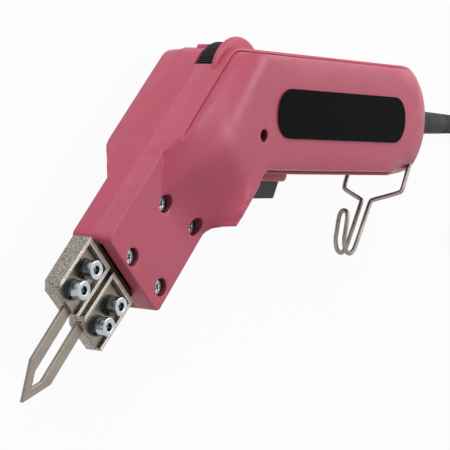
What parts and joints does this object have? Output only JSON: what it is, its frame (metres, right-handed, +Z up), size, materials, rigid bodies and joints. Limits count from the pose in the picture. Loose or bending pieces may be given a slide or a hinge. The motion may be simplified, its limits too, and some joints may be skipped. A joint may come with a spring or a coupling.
{
  "type": "electric hot knife",
  "caption": "Corded electric hot knife with an angled head, V-pointed blade in screw clamps, thumb-wheel heat control, trigger and wire hanging hook.",
  "frame": {"origin": "on the flat face of the back side panel that the tool lies on, under the point where the axis of the handle meets the axis of the head", "axes": "+X along the handle to the cord, +Y across the handle to the thumb wheel, +Z up out of the label side"},
  "size_m": [0.5719, 0.1339, 0.0443],
  "materials": {
    "rose_plastic": "fine matt moulded texture",
    "label_black": "smooth black film, bare",
    "zinc_steel": "zinc plated",
    "black_plastic": "matt black",
    "bare_steel": "turned",
    "dark_plastic": "matt dark grey",
    "board_green": "green solder mask",
    "bare_aluminium": "extruded",
    "capacitor_blue": "glossy sleeve",
    "choke_yellow": "coated ring core",
    "capacitor_red": "glossy resin",
    "core_steel": "varnished laminations",
    "ivory_plastic": "matt ivory",
    "winding_wire": "enamelled wire",
    "copper": "bare copper",
    "insulator_board": "pressed insulating board",
    "nickel_casting": "nickel plated, cast",
    "nickel_plate": "nickel plated",
    "dark_steel": "oiled steel",
    "blade_alloy": "satin, heat tinted",
    "nickel_wire": "nickel plated wire",
    "grey_rubber": "matt dark grey",
    "black_rubber": "matt black",
    "blue_lead": "insulated lead",
    "red_lead": "insulated lead",
    "pin_nickel": "nickel plated"
  },
  "bodies": {
    "body": {"label_side_shell": "rose_plastic", "back_shell": "rose_plastic", "name_plate": "label_black", "shell_screws": "zinc_steel", "small_screw": "zinc_steel", "potentiometer": "dark_plastic", "trigger_spring": "bare_steel", "trigger_switch": "dark_plastic", "control_board": "board_green", "heat_sink": "bare_aluminium", "triac": "black_plastic", "capacitor": "capacitor_blue", "choke": "choke_yellow", "snubber": "capacitor_red", "transformer_core": "core_steel", "bobbin": "ivory_plastic", "primary_winding": "winding_wire", "secondary_strap": "copper", "front_conductor": "copper", "back_conductor": "copper", "nose_insulator": "insulator_board", "front_blade_holder": "nickel_casting", "back_blade_holder": "nickel_casting", "front_clamp_plate": "nickel_plate", "back_clamp_plate": "nickel_plate", "clamp_screws": "zinc_steel", "flat_washers": "dark_steel", "spring_washers": "dark_steel", "hot_blade": "blade_alloy", "strain_relief": "grey_rubber", "cord_inner": "black_rubber", "cord_clamp": "ivory_plastic", "cord_clamp_screws": "zinc_steel", "supply_leads": "blue_lead", "coil_leads": "red_lead", "cord_lead": "black_rubber", "cord_coil": "black_rubber", "cord_tail": "black_rubber", "cord_tie": "grey_rubber", "plug_body": "black_rubber", "plug_pins": "pin_nickel"},
    "dial": {"dial_wheel": "black_plastic", "dial_shaft": "bare_steel"},
    "trigger": {"trigger": "black_plastic"},
    "hook": {"hanging_hook": "nickel_wire"}
  },
  "joints": [
    {"name": "dial_turn", "type": "hinge", "parent": "body", "child": "dial", "pos_m": [0.0093, 0.0126, 0.022], "axis": [0, 0, 1], "range_deg": [-135, 135]},
    {"name": "trigger_pull", "type": "slide", "parent": "body", "child": "trigger", "axis": [0, 1, 0], "range_m": [0, 0.003], "stiffness_N_per_m": 600, "springref_m": -0.003, "deforming": ["trigger_spring"]},
    {"name": "hook_swing", "type": "hinge", "parent": "body", "child": "hook", "pos_m": [0.13997, -0.01499, 0.022], "axis": [0, 0, 1], "range_deg": [-20, 20]}
  ]
}
